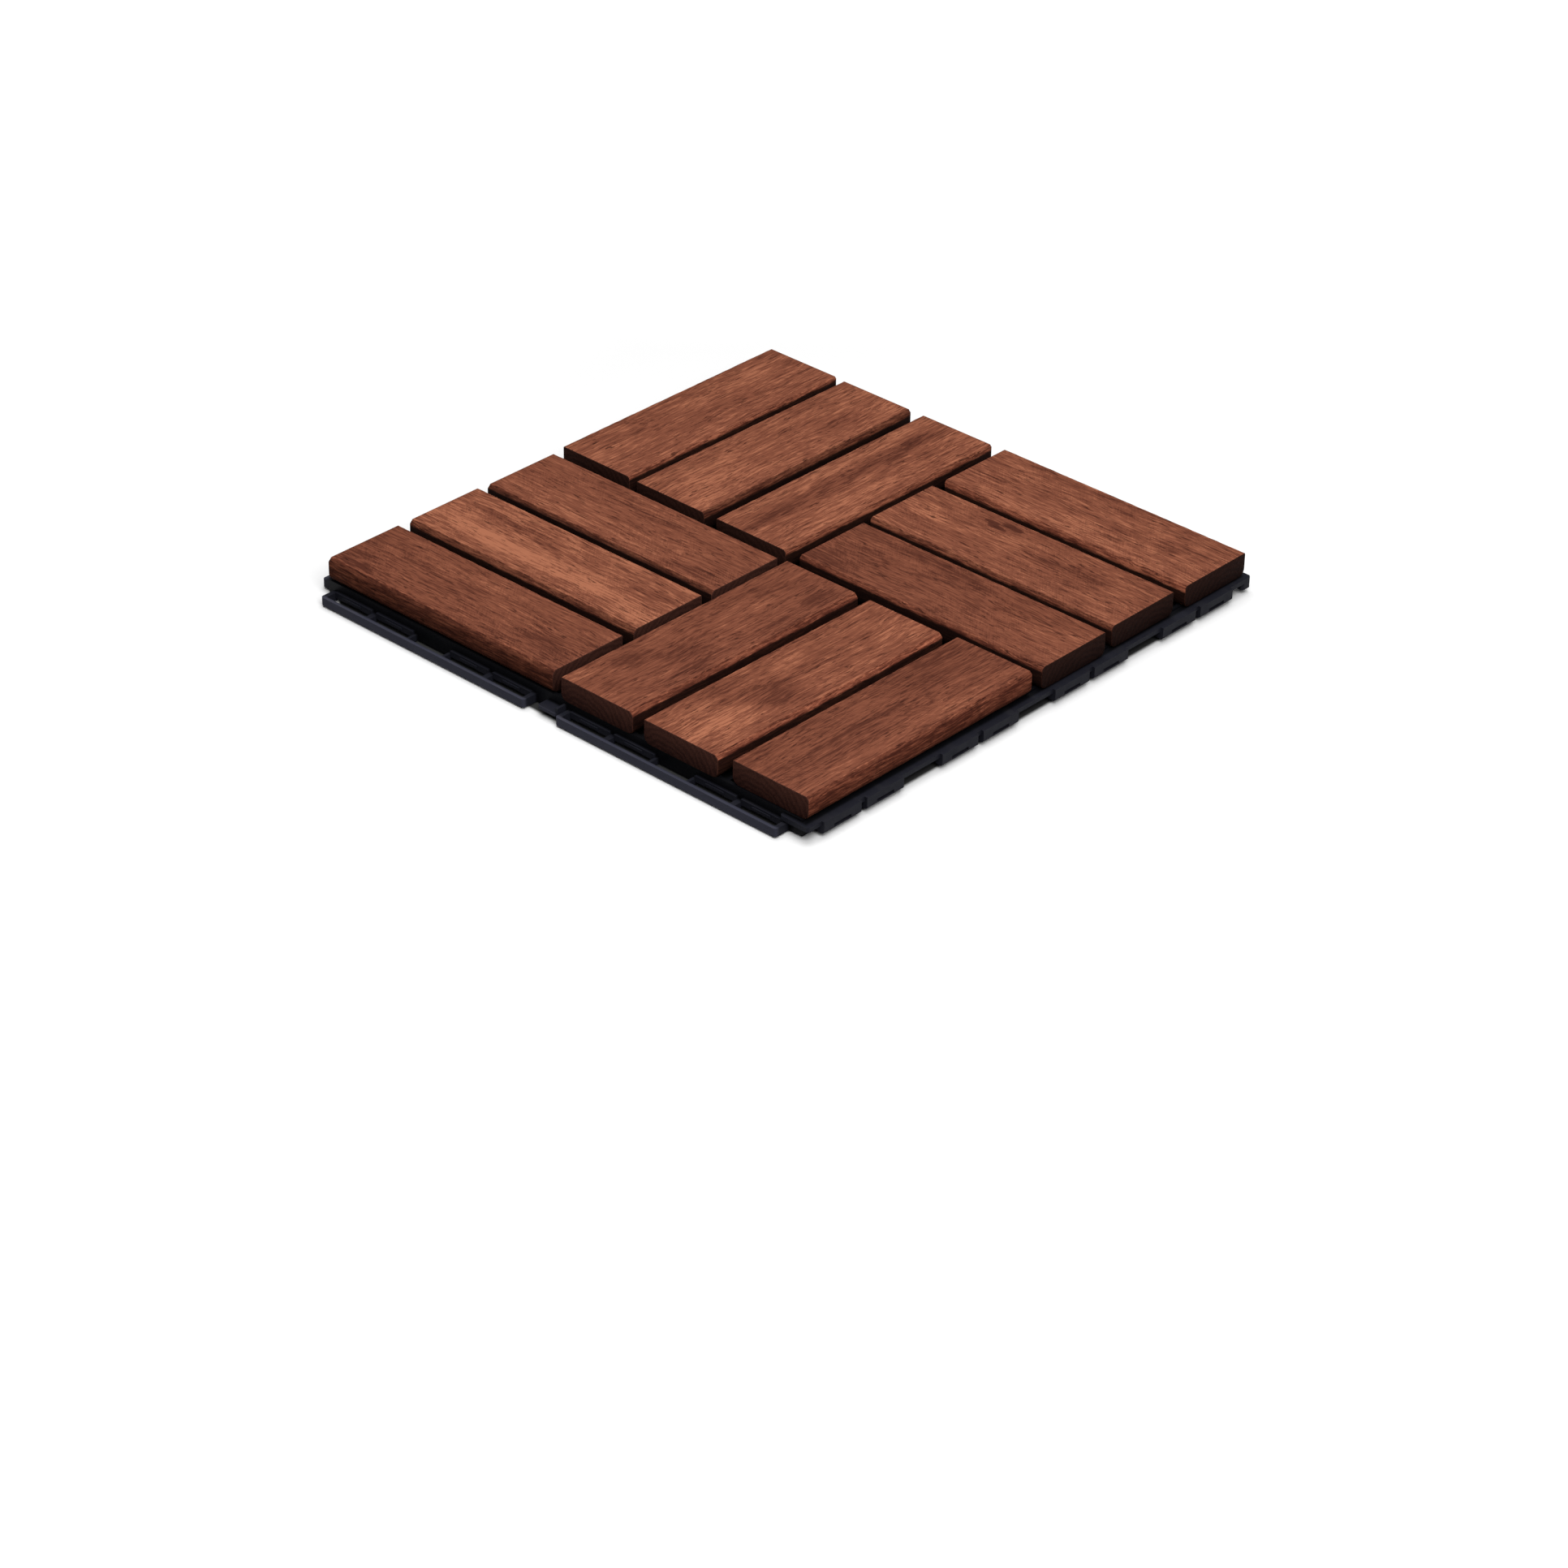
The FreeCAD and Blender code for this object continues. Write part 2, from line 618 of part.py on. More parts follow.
def main():
    doc = FreeCAD.newDocument("deck_tile")
    s = Sizes(doc)
    pieces = [moulded_base(doc, s)]
    for entry in SLATS:
        pieces.append(slat(doc, s, *entry))
    pieces.append(slat_screws(doc, s))
    doc.recompute()
    check(doc, pieces)
    os.makedirs("parts", exist_ok=True)
    for piece in pieces:
        piece.Shape.exportStep("parts/%s.step" % piece.Label)
        print("%-20s %d solids %10.1f mm3" % (piece.Label, len(piece.Shape.Solids), piece.Shape.Volume))


main()
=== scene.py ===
import math
from collections import namedtuple

import bmesh
import bpy
from bpy.props import FloatProperty, FloatVectorProperty, IntProperty, PointerProperty
from mathutils import Matrix, Vector, noise


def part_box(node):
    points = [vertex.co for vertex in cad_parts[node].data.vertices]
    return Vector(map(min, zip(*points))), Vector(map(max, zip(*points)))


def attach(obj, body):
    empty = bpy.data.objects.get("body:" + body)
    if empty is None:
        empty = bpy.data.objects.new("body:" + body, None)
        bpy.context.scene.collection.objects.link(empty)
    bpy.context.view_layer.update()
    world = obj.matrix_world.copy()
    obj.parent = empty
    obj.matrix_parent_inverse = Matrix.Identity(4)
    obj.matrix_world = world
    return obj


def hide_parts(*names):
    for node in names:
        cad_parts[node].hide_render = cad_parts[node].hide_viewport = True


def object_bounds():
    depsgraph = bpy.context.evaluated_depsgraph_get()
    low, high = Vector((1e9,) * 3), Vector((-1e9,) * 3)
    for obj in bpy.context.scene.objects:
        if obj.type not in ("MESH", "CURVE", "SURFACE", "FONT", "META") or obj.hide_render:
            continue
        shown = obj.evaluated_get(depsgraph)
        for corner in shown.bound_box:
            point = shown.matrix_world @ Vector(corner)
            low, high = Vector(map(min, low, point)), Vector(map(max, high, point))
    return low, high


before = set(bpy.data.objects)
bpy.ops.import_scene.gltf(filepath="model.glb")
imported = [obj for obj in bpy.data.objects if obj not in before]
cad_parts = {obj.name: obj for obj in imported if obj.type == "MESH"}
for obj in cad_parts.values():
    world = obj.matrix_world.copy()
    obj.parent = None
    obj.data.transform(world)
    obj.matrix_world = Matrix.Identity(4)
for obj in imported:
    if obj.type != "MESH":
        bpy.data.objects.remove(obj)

bl_info = {
    "name": "Deck tile",
    "version": (1, 0, 0),
    "blender": (4, 5, 0),
    "location": "3D View > Sidebar > Deck tile",
    "description": "Dresses an interlocking hardwood deck tile around its CAD solids",
    "category": "Object",
}

CAD_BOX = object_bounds()
MM = 0.001
TO_MM = (1000.0, 1000.0, 1000.0)

# Sizes of the pieces, in metres.
TILE_HEIGHT = 21.0 * MM
SLAT_PITCH = 51.1 * MM
HEAD_RADIUS = 3.7 * MM
HEAD_HEIGHT = 2.3 * MM
SHANK_RADIUS = 1.7 * MM
POINT_LENGTH = 2.6 * MM

# Places in the materials, in millimetres: half a slat's width; how far the wood moves on from each slat to the
# next; how far from the tile's middle the base's painted shade gives way to its own colour, and then painted light
# makes it pale.
SLAT_HALF_WIDTH = 22.25
SEED_STEPS = (311.7, 97.3, 53.9)
SHADE_UNDER_SLATS = (149.6, 151.2)
LIGHT_ON_OUTERMOST = (155.5, 157.5)

# The colour of the painted shade deep in the gaps between the slats.
GAP_SHADE = (0.0055, 0.0022, 0.0018, 1)
DUST = (0.06, 0.055, 0.052, 1)

# The stage, in metres.
FLOOR_HALF = 6.0
KEY_PLACE, KEY_SIZE = (1.24, -0.86, 1.68), 1.3
OVERHEAD_PLACE, OVERHEAD_SIZE = (-0.20, 0.25, 2.20), 1.8

# The look of a slat: how pale it is, 0 to 1; the width in millimetres of the worn edge on the side of its own
# -Y; how bright that edge is, and the sides, against the face, the sides' brightness partly being painted light;
# how many millimetres down a side, where it faces a gap, the painted shade of the gap begins; and its figure.
# Each patch of the figure is paler (+) or darker (-): place along and across the grain from the slat's middle,
# half length and half width in millimetres, strength.
SlatLook = namedtuple("SlatLook", "tone edge_width edge_share side_share clean_depth patches")
SLATS = {
    "slat_left_outer": SlatLook(0.39, 2.0, 0.62, 0.46, 2.0, [
        (-22, 10, 36, 3.5, 0.16), (40, 3, 34, 2.8, 0.15), (56, -7, 18, 5, -0.17), (46, -15, 28, 3, -0.12),
        (-58, -17, 10, 2.6, -0.34), (-73, 0, 9, 18, -0.12)]),
    "slat_left_middle": SlatLook(0.64, 2.0, 0.40, 0.60, 2.2, [
        (-12, -8, 62, 5.5, 0.36), (60, -14, 18, 4.5, 0.16), (-45, 14, 26, 3, 0.12), (-36, 9, 28, 2.6, -0.32),
        (-2, 5, 22, 1.8, -0.22), (60, 16, 18, 2.3, -0.27), (60, 7, 16, 2.6, -0.26)]),
    "slat_left_inner": SlatLook(0.44, 2.0, 0.40, 0.48, 1.2, [
        (-27, 16, 15, 2.6, -0.20), (56, -15, 17, 4, -0.28), (-20, -13, 46, 6, 0.10), (60, 5, 20, 14, -0.10),
        (10, 9, 40, 2.5, -0.08)]),
    "slat_back_outer": SlatLook(0.53, 1.0, 0.60, 1.05, 1.5, [
        (-1, -4, 14, 6, -0.17), (54, -17, 20, 3.6, -0.17), (30, 10, 42, 6, 0.08), (-32, 2, 9, 9, -0.10)]),
    "slat_back_middle": SlatLook(0.57, 1.4, 0.36, 0.50, 3.0, [
        (43, -7, 12, 6, -0.17), (-45, 0, 24, 15, 0.12), (65, 13, 10, 6, 0.14), (5, 8, 22, 4, -0.08)]),
    "slat_back_inner": SlatLook(0.54, 1.2, 0.44, 0.90, 2.6, [
        (0, 5.5, 95, 5, -0.25), (33, 6, 30, 4.5, -0.12), (-57, 8, 17, 8, -0.15), (0, 17, 75, 3.4, 0.17),
        (10, -13, 64, 5, 0.11)]),
    "slat_right_outer": SlatLook(0.53, 1.2, 0.68, 0.98, 3.2, [
        (46, 2, 6, 11, -0.15), (14, -4, 10, 3, -0.14), (0, -14, 54, 3, 0.09), (0, 17, 75, 3, -0.10)]),
    "slat_right_middle": SlatLook(0.50, 1.4, 0.38, 0.72, 2.2, [
        (-26.6, 12.4, 4.5, 2.6, -0.75), (-17.0, 16.6, 4, 1.7, -0.75), (-22, 14, 12, 6, -0.14),
        (-8, 6, 13, 5, 0.16), (-50, 4, 17, 8, 0.09), (30, 2, 18, 9, -0.22), (65, 0, 9, 3, -0.13)]),
    "slat_right_inner": SlatLook(0.31, 1.4, 0.62, 0.95, 1.9, [
        (-24, 14, 42, 3, -0.18), (-60, -14, 18, 7, -0.18), (58, 2, 24, 17, 0.13), (-50, 4, 6, 1.6, -0.2)]),
    "slat_front_outer": SlatLook(0.30, 1.5, 0.72, 0.85, 1.0, [
        (-10, -15, 75, 4.5, 0.16), (48, 9, 32, 9, -0.12), (-20, 2, 44, 1.3, -0.16), (-48, 14, 24, 5, 0.06)]),
    "slat_front_middle": SlatLook(0.47, 1.9, 0.60, 1.60, 1.9, [
        (-18, -4, 13, 10, -0.28), (-56, 2, 19, 17, 0.26), (64, -4, 13, 12, 0.13), (4, 12, 11, 7, 0.13),
        (24, -8, 14, 4, -0.10)]),
    "slat_front_inner": SlatLook(0.35, 2.2, 0.42, 1.55, 1.9, [
        (60, -13, 13, 5, -0.26), (-22, -8, 10, 14, -0.16), (-41, 10, 9, 7, -0.20), (27, 4, 18, 6, 0.13),
        (-66, 17, 11, 4, 0.26)]),
}
# How dark each quarter's end grain is against its long sides: end grain is darker, and the differences from quarter
# to quarter are partly painted shade.
END_SHARE = {"left": 0.5, "back": 0.3, "right": 0.20, "front": 0.57}
# The outer slats have one long side that faces out of the tile: the way it lies on the slat's own Y.
OPEN_SIDE = {"slat_left_outer": -1, "slat_front_outer": -1, "slat_right_outer": 1, "slat_back_outer": 1}


# Settings

class SlatSettings(bpy.types.PropertyGroup):
    pale: FloatVectorProperty(
        name="Pale wood", description="The palest streaks of the oiled wood",
        default=(0.402, 0.147, 0.079), size=3, min=0, max=1, subtype="COLOR")
    middle: FloatVectorProperty(
        name="Middle wood", description="The oiled wood's main colour",
        default=(0.211, 0.068, 0.0375), size=3, min=0, max=1, subtype="COLOR")
    deep: FloatVectorProperty(
        name="Deep wood", description="The darkest figure of the oiled wood",
        default=(0.088, 0.025, 0.0145), size=3, min=0, max=1, subtype="COLOR")
    pore: FloatVectorProperty(
        name="Pores", description="Oil-filled pores",
        default=(0.040, 0.011, 0.007), size=3, min=0, max=1, subtype="COLOR")
    round_top: FloatProperty(
        name="Upper edge radius", description="Radius along a slat's crisper upper long edge",
        default=0.8 * MM, min=0, unit="LENGTH")
    round_low: FloatProperty(
        name="Lower edge radius", description="Radius along a slat's lower long edges",
        default=3.4 * MM, min=0, unit="LENGTH")
    round_end: FloatProperty(
        name="End edge radius", description="Softening round a slat's sawn ends",
        default=0.45 * MM, min=0, unit="LENGTH")
    uneven: FloatProperty(
        name="Uneven edges", description="How far the long edges wander inwards",
        default=0.22 * MM, min=0, unit="LENGTH")
    roughness: FloatProperty(
        name="Roughness", description="Roughness of the oiled face",
        default=0.62, min=0, max=1, subtype="FACTOR")


class BaseSettings(bpy.types.PropertyGroup):
    colour: FloatVectorProperty(
        name="Plastic", description="The moulded base's colour",
        default=(0.0132, 0.0135, 0.0198), size=3, min=0, max=1, subtype="COLOR")
    roughness: FloatProperty(
        name="Roughness", description="Roughness of the moulded skin",
        default=0.55, min=0, max=1, subtype="FACTOR")
    soft_edge: FloatProperty(
        name="Soft edge", description="Width of the softening on the moulding's edges",
        default=0.16 * MM, min=0, unit="LENGTH")


class ScrewSettings(bpy.types.PropertyGroup):
    colour: FloatVectorProperty(
        name="Zinc", description="The screws' plating",
        default=(0.42, 0.40, 0.34), size=3, min=0, max=1, subtype="COLOR")
    turns: IntProperty(
        name="Segments", description="Segments round a screw",
        default=28, min=12, max=96)
    thread_pitch: FloatProperty(
        name="Thread pitch", description="Rise of the thread in one turn",
        default=1.35 * MM, min=0.2 * MM, unit="LENGTH")
    recess_reach: FloatProperty(
        name="Recess reach", description="How far the cross recess reaches from the middle",
        default=2.1 * MM, min=0, unit="LENGTH")


class StageSettings(bpy.types.PropertyGroup):
    floor: FloatVectorProperty(
        name="Floor", description="Colour of the studio floor",
        default=(0.96, 0.96, 0.96), size=3, min=0, max=1, subtype="COLOR")
    floor_bounce: FloatProperty(
        name="Floor bounce", description="How pale the floor is to the light that it throws back",
        default=0.05, min=0, max=1, subtype="FACTOR")
    ambient: FloatProperty(
        name="Ambient", description="Level of the even light from all round",
        default=0.10, min=0)
    key: FloatProperty(
        name="Key lamp", description="Power of the large lamp at the tile's right",
        default=38.0, min=0, unit="POWER")
    overhead: FloatProperty(
        name="Overhead lamp", description="Power of the large lamp over the tile",
        default=31.0, min=0, unit="POWER")


class TileSettings(bpy.types.PropertyGroup):
    slats: PointerProperty(type=SlatSettings, name="Slats", description="Oiled slats")
    base: PointerProperty(type=BaseSettings, name="Base", description="Moulded base")
    screws: PointerProperty(type=ScrewSettings, name="Screws", description="Screws under the slats")
    stage: PointerProperty(type=StageSettings, name="Stage", description="Floor, lamps and camera")


# Joining shader nodes

class Wiring:
    """Adds nodes to one tree. A socket, a number or a colour can stand for any input."""

    def __init__(self, tree):
        self.tree = tree

    def node(self, kind, values=(), **settings):
        """A new node: its settings made, and each value joined to its input or put in it."""
        made = self.tree.nodes.new(kind)
        for name, value in settings.items():
            setattr(made, name, value)
        for key, value in dict(values).items():
            if isinstance(value, bpy.types.NodeSocket):
                self.tree.links.new(value, made.inputs[key])
            else:
                made.inputs[key].default_value = value
        return made

    def link(self, inputs, values):
        """Join each value to the input of its name."""
        for name, value in values.items():
            self.tree.links.new(value, inputs[name])

    def maths(self, operation, first, second=0.0):
        return self.node("ShaderNodeMath", {0: first, 1: second}, operation=operation).outputs[0]

    def add(self, first, second):
        return self.maths("ADD", first, second)

    def minus(self, first, second):
        return self.maths("SUBTRACT", first, second)

    def times(self, first, second):
        return self.maths("MULTIPLY", first, second)

    def larger(self, first, second):
        return self.maths("MAXIMUM", first, second)

    def vector(self, operation, first, second=(0.0, 0.0, 0.0)):
        made = self.node("ShaderNodeVectorMath", {0: first, 1: second}, operation=operation)
        return made.outputs["Value" if operation == "LENGTH" else "Vector"]

    def parts(self, vector):
        return self.node("ShaderNodeSeparateXYZ", {0: vector}).outputs

    def joined(self, x, y, z):
        return self.node("ShaderNodeCombineXYZ", {0: x, 1: y, 2: z}).outputs[0]

    def noise(self, place, size, detail=2.0, roughness=0.5, colour=False):
        """Noise from 0 to 1 whose grains are size millimetres long on each axis."""
        scaled = self.vector("MULTIPLY", place, tuple(1 / s for s in size))
        made = self.node("ShaderNodeTexNoise", {
            "Vector": scaled, "Scale": 1.0, "Detail": detail, "Roughness": roughness})
        return made.outputs[1 if colour else 0]

    def swing(self, field, reach):
        """Noise from 0 to 1 made to swing about nought."""
        return self.times(self.minus(field, 0.5), reach)

    def sway(self, place, size, reach, detail, roughness=0.5):
        """A drift about nought, its reach in millimetres on each axis."""
        drift = self.noise(place, size, detail, roughness, colour=True)
        return self.vector("MULTIPLY", self.vector("SUBTRACT", drift, (0.5, 0.5, 0.5)), reach)

    def smooth(self, value, low, high, at_low=0.0, at_high=1.0):
        """A smooth step from at_low, where the value is low, to at_high, where it is high."""
        return self.node("ShaderNodeMapRange", {
            0: value, 1: low, 2: high, 3: at_low, 4: at_high}, interpolation_type="SMOOTHSTEP").outputs[0]

    def blend(self, amount, first, second, kind="MIX"):
        made = self.node("ShaderNodeMix", {0: amount, 6: first, 7: second}, data_type="RGBA", blend_type=kind)
        return made.outputs[2]

    def tinted(self, colour, red, green, blue):
        """The colour with each of its channels times a factor."""
        return self.blend(1.0, colour, self.joined(red, green, blue), kind="MULTIPLY")

    def group(self, tree, values):
        return self.node("ShaderNodeGroup", values, node_tree=tree).outputs


def new_group(name, inputs, outputs):
    """A shader node group with named sockets: its wiring, its inputs and its output node."""
    tree = bpy.data.node_groups.new(name, "ShaderNodeTree")
    kinds = {"value": "NodeSocketFloat", "vector": "NodeSocketVector", "colour": "NodeSocketColor"}
    for label, kind in inputs:
        tree.interface.new_socket(name=label, in_out="INPUT", socket_type=kinds[kind])
    for label, kind in outputs:
        tree.interface.new_socket(name=label, in_out="OUTPUT", socket_type=kinds[kind])
    wiring = Wiring(tree)
    return wiring, wiring.node("NodeGroupInput").outputs, wiring.node("NodeGroupOutput").inputs


def new_material(name):
    """An empty material: the material, its wiring and its Principled shader."""
    material = bpy.data.materials.new(name)
    material.use_nodes = True
    wiring = Wiring(material.node_tree)
    return material, wiring, material.node_tree.nodes["Principled BSDF"]


def dress(wiring, shader, colour, roughness, height, strength, distance):
    """Join a surface's colour, roughness and relief to its shader."""
    bump = wiring.node("ShaderNodeBump", {"Height": height, "Strength": strength, "Distance": distance})
    wiring.link(shader.inputs, {"Base Color": colour, "Roughness": roughness, "Normal": bump.outputs[0]})


# Meshes and objects

def finished_mesh(mesh, name):
    """Smooth mesh data made from a bmesh, its faces turned outwards."""
    bmesh.ops.recalc_face_normals(mesh, faces=mesh.faces)
    data = bpy.data.meshes.new(name)
    mesh.to_mesh(data)
    mesh.free()
    data.shade_smooth()
    return data


def new_object(name, data):
    made = bpy.data.objects.new(name, data)
    bpy.context.scene.collection.objects.link(made)
    return made


# Oiled wood. Its noise sizes are millimetres along the grain, across it and up.

def figure_group():
    """Where a point lies in the wood: millimetres along, across and up, made wavy as grain is."""
    wiring, given, out = new_group(
        "wavy grain", [("Place", "vector"), ("Seed", "value")], [("Straight", "vector"), ("Wavy", "vector")])
    straight = wiring.vector("MULTIPLY", given["Place"], TO_MM)
    moved = wiring.vector("ADD", straight, wiring.joined(
        *(wiring.times(given["Seed"], step) for step in SEED_STEPS)))
    bend = wiring.sway(moved, (55, 26, 26), (0.0, 6.0, 6.0), detail=1.5)
    ripple = wiring.sway(moved, (15, 9, 9), (0.0, 0.9, 0.9), detail=1.0)
    wavy = wiring.vector("ADD", wiring.vector("ADD", moved, bend), ripple)
    wiring.link(out, {"Straight": straight, "Wavy": wavy})
    return wiring.tree


def patch_group():
    """One soft patch of the figure, drawn out along the grain and broken up by it."""
    wiring, given, out = new_group(
        "figure patch",
        [("Straight", "vector"), ("Wavy", "vector"), ("Along", "value"), ("Across", "value"),
         ("Half Length", "value"), ("Half Width", "value"), ("Strength", "value")],
        [("Tone", "value")])
    drift = wiring.sway(given["Wavy"], (22, 7, 7), (34.0, 9.0, 0.0), detail=3.0, roughness=0.6)
    x, y, _ = wiring.parts(wiring.vector("ADD", given["Straight"], drift))
    along = wiring.maths("DIVIDE", wiring.minus(x, given["Along"]), given["Half Length"])
    across = wiring.maths("DIVIDE", wiring.minus(y, given["Across"]), given["Half Width"])
    far = wiring.add(wiring.times(along, along), wiring.times(across, across))
    body = wiring.smooth(far, 1.9, 0.0)
    streak = wiring.noise(given["Wavy"], (30, 0.8, 0.8), roughness=0.6)
    broken = wiring.smooth(streak, 0.25, 0.75, 0.5, 1.5)
    wiring.link(out, {"Tone": wiring.times(wiring.times(body, broken), given["Strength"])})
    return wiring.tree


def sanding_marks(wiring, straight):
    """Faint marks that sanding left slantwise over the grain, in some places only."""
    slant = math.radians(52)
    slanted = wiring.node(
        "ShaderNodeVectorRotate", {"Vector": straight, "Angle": slant}, rotation_type="Z_AXIS").outputs[0]
    marks = wiring.noise(slanted, (7, 0.7, 7), roughness=0.7)
    where = wiring.smooth(wiring.noise(straight, (24, 16, 30), detail=1.0), 0.42, 0.62)
    return wiring.swing(marks, wiring.times(where, 0.6))


def pore_mask(wiring, wavy):
    """Pores: short dark dashes along the grain, and longer ones in crowds."""
    field = wiring.noise(wavy, (6.5, 0.8, 0.8), detail=1.5)
    crowd = wiring.smooth(wiring.noise(wavy, (30, 7, 7)), 0.35, 0.7, 0.68, 0.60)
    short = wiring.smooth(wiring.minus(field, crowd), 0.0, 0.05)
    field = wiring.noise(wavy, (15, 0.75, 0.9), detail=1.0)
    crowd = wiring.smooth(wiring.noise(wavy, (60, 5, 7), detail=1.0), 0.4, 0.65, 0.72, 0.62)
    long = wiring.smooth(wiring.minus(field, crowd), 0.0, 0.06)
    return wiring.larger(short, wiring.times(long, 0.85))


def sawn_end(wiring, given, y, z):
    """A sawn end, dark with faint rings and dotted pores: its colour, and the dots."""
    pith = (0.0, 9.0, -16.0)
    ring_rate = 2.1  # radians to a millimetre: one ring in 3 mm
    from_pith = wiring.vector("LENGTH", wiring.vector("SUBTRACT", wiring.joined(0.0, y, z), pith))
    drift = wiring.times(wiring.noise(given["Straight"], (5, 5, 5)), 5.0)
    rings = wiring.maths("SINE", wiring.times(wiring.add(from_pith, drift), ring_rate))
    dots = wiring.noise(given["Straight"], (0.5, 0.5, 0.5), roughness=0.65)
    tone = wiring.add(wiring.times(rings, 0.12), wiring.swing(dots, 0.9))
    tone = wiring.add(tone, wiring.smooth(z, -6.0, 6.0, 0.10, 0.50))
    colour = wiring.blend(tone, given["Pore"], given["Middle"])
    # The end share darkens the end grain; part of that darkness is painted shade.
    channels = (wiring.times(given["End Share"], factor) for factor in (0.92, 1.08, 1.35))
    return wiring.tinted(colour, *channels), dots


def grain_group():
    """Streaks, mottle, pores and sanding marks of one oiled slat, with its edges, sides and sawn ends."""
    wiring, given, out = new_group(
        "oiled grain",
        [("Straight", "vector"), ("Wavy", "vector"), ("Normal", "vector"), ("Tone", "value"), ("Pale", "colour"),
         ("Middle", "colour"), ("Deep", "colour"), ("Pore", "colour"), ("Edge Width", "value"),
         ("Edge Share", "value"), ("Side Share", "value"), ("Clean Depth", "value"), ("Open Side", "value"),
         ("End Share", "value"), ("Roughness", "value")],
        [("Colour", "colour"), ("Roughness", "value"), ("Height", "value")])
    straight, wavy = given["Straight"], given["Wavy"]
    _, y, z = wiring.parts(straight)
    normal_x, normal_y, _ = wiring.parts(given["Normal"])
    side = wiring.smooth(wiring.maths("ABSOLUTE", normal_y), 0.5, 0.95)
    end = wiring.smooth(wiring.maths("ABSOLUTE", normal_x), 0.45, 0.85)

    # Tone. The grain shows more on paler slats and on the sides.
    bands = wiring.noise(wavy, (260, 8, 8))
    streaks = wiring.noise(wavy, (55, 1.3, 1.3), detail=3.0, roughness=0.6)
    threads = wiring.noise(wavy, (18, 0.85, 0.85), detail=3.0, roughness=0.6)
    flecks = wiring.noise(wavy, (8.0, 0.90, 0.90), roughness=0.65)
    fibres = wiring.noise(wavy, (9, 0.30, 0.30), roughness=0.65)
    mottle = wiring.noise(wavy, (20, 9, 9), detail=3.0, roughness=0.55)
    tone = given["Tone"]
    contrast = wiring.add(wiring.add(0.55, wiring.times(tone, 0.9)), wiring.times(side, 0.9))
    for part, strength in (
            (bands, 0.40), (streaks, 0.75), (threads, 1.1), (flecks, 1.05), (fibres, 1.05), (mottle, 0.55)):
        tone = wiring.add(tone, wiring.swing(part, wiring.times(contrast, strength)))
    tone = wiring.add(tone, sanding_marks(wiring, straight))

    # The worn edge has ragged patches, and paler dashes along its crest.
    wander = wiring.swing(wiring.noise(straight, (6, 3, 3), detail=3.0), 1.5)
    start = wiring.minus(SLAT_HALF_WIDTH, given["Edge Width"])
    past = wiring.add(wiring.minus(wiring.times(y, -1.0), start), wander)
    edge = wiring.smooth(past, -0.25, 0.35)
    crest = wiring.times(wiring.smooth(past, -0.6, 0.1), wiring.smooth(past, 1.2, 0.4))
    dashes = wiring.smooth(wiring.noise(straight, (3.0, 0.8, 0.8), detail=3.0, roughness=0.7), 0.50, 0.60)
    ragged = wiring.noise(straight, (2.2, 0.6, 0.6), detail=4.0, roughness=0.75)
    tone = wiring.add(tone, wiring.times(wiring.times(crest, dashes), 0.40))
    tone = wiring.add(tone, wiring.times(wiring.times(edge, wiring.minus(ragged, 0.5)), 0.8))

    pores = pore_mask(wiring, wavy)
    lower = wiring.blend(wiring.smooth(tone, 0.0, 0.5), given["Deep"], given["Middle"])
    colour = wiring.blend(wiring.smooth(tone, 0.5, 1.0), lower, given["Pale"])
    colour = wiring.blend(wiring.times(pores, 0.75), colour, given["Pore"])

    # The worn edge and the long sides have their own brightness, and are redder; the sides' brightness is partly
    # painted light.
    on_edge = wiring.times(edge, wiring.minus(1.0, side))
    share = wiring.add(1.0, wiring.times(on_edge, wiring.minus(given["Edge Share"], 1.0)))
    share = wiring.add(share, wiring.times(side, wiring.minus(given["Side Share"], 1.0)))
    cooler = wiring.times(share, wiring.smooth(wiring.larger(on_edge, side), 0.0, 1.0, 1.0, 0.88))
    colour = wiring.tinted(colour, share, cooler, cooler)

    # The sides darken towards the bottom, and deep in the gaps they are painted in shade. Heights are from the
    # slat's middle.
    darken_from, darken_to = -2.2, -5.2
    shade_from, shade_fade = 6.6, 1.6
    low = wiring.times(side, wiring.smooth(z, darken_from, darken_to))
    colour = wiring.blend(wiring.times(low, 0.8), colour, given["Pore"])
    faces_out = wiring.smooth(wiring.times(y, given["Open Side"]), 0.0, 1.0)
    shade_start = wiring.minus(wiring.add(shade_from, wander), given["Clean Depth"])
    depth = wiring.smooth(wiring.minus(shade_start, z), 0.0, shade_fade)
    gap_shade_mask = wiring.times(wiring.times(side, depth), wiring.minus(1.0, faces_out))
    colour = wiring.blend(wiring.times(gap_shade_mask, 0.95), colour, GAP_SHADE)

    end_colour, dots = sawn_end(wiring, given, y, z)
    colour = wiring.blend(end, colour, end_colour)

    rough = wiring.add(given["Roughness"], wiring.swing(streaks, 0.22))
    rough = wiring.add(rough, wiring.times(pores, 0.12))
    rough = wiring.add(rough, wiring.times(wiring.larger(end, edge), 0.16))

    height = wiring.times(fibres, 0.35)
    for part, share in (
            (streaks, 0.35), (pores, -0.55), (wiring.times(wiring.larger(side, edge), ragged), 1.1),
            (wiring.times(end, dots), 0.8)):
        height = wiring.add(height, wiring.times(part, share))
    wiring.link(out, {"Colour": colour, "Roughness": rough, "Height": height})
    return wiring.tree


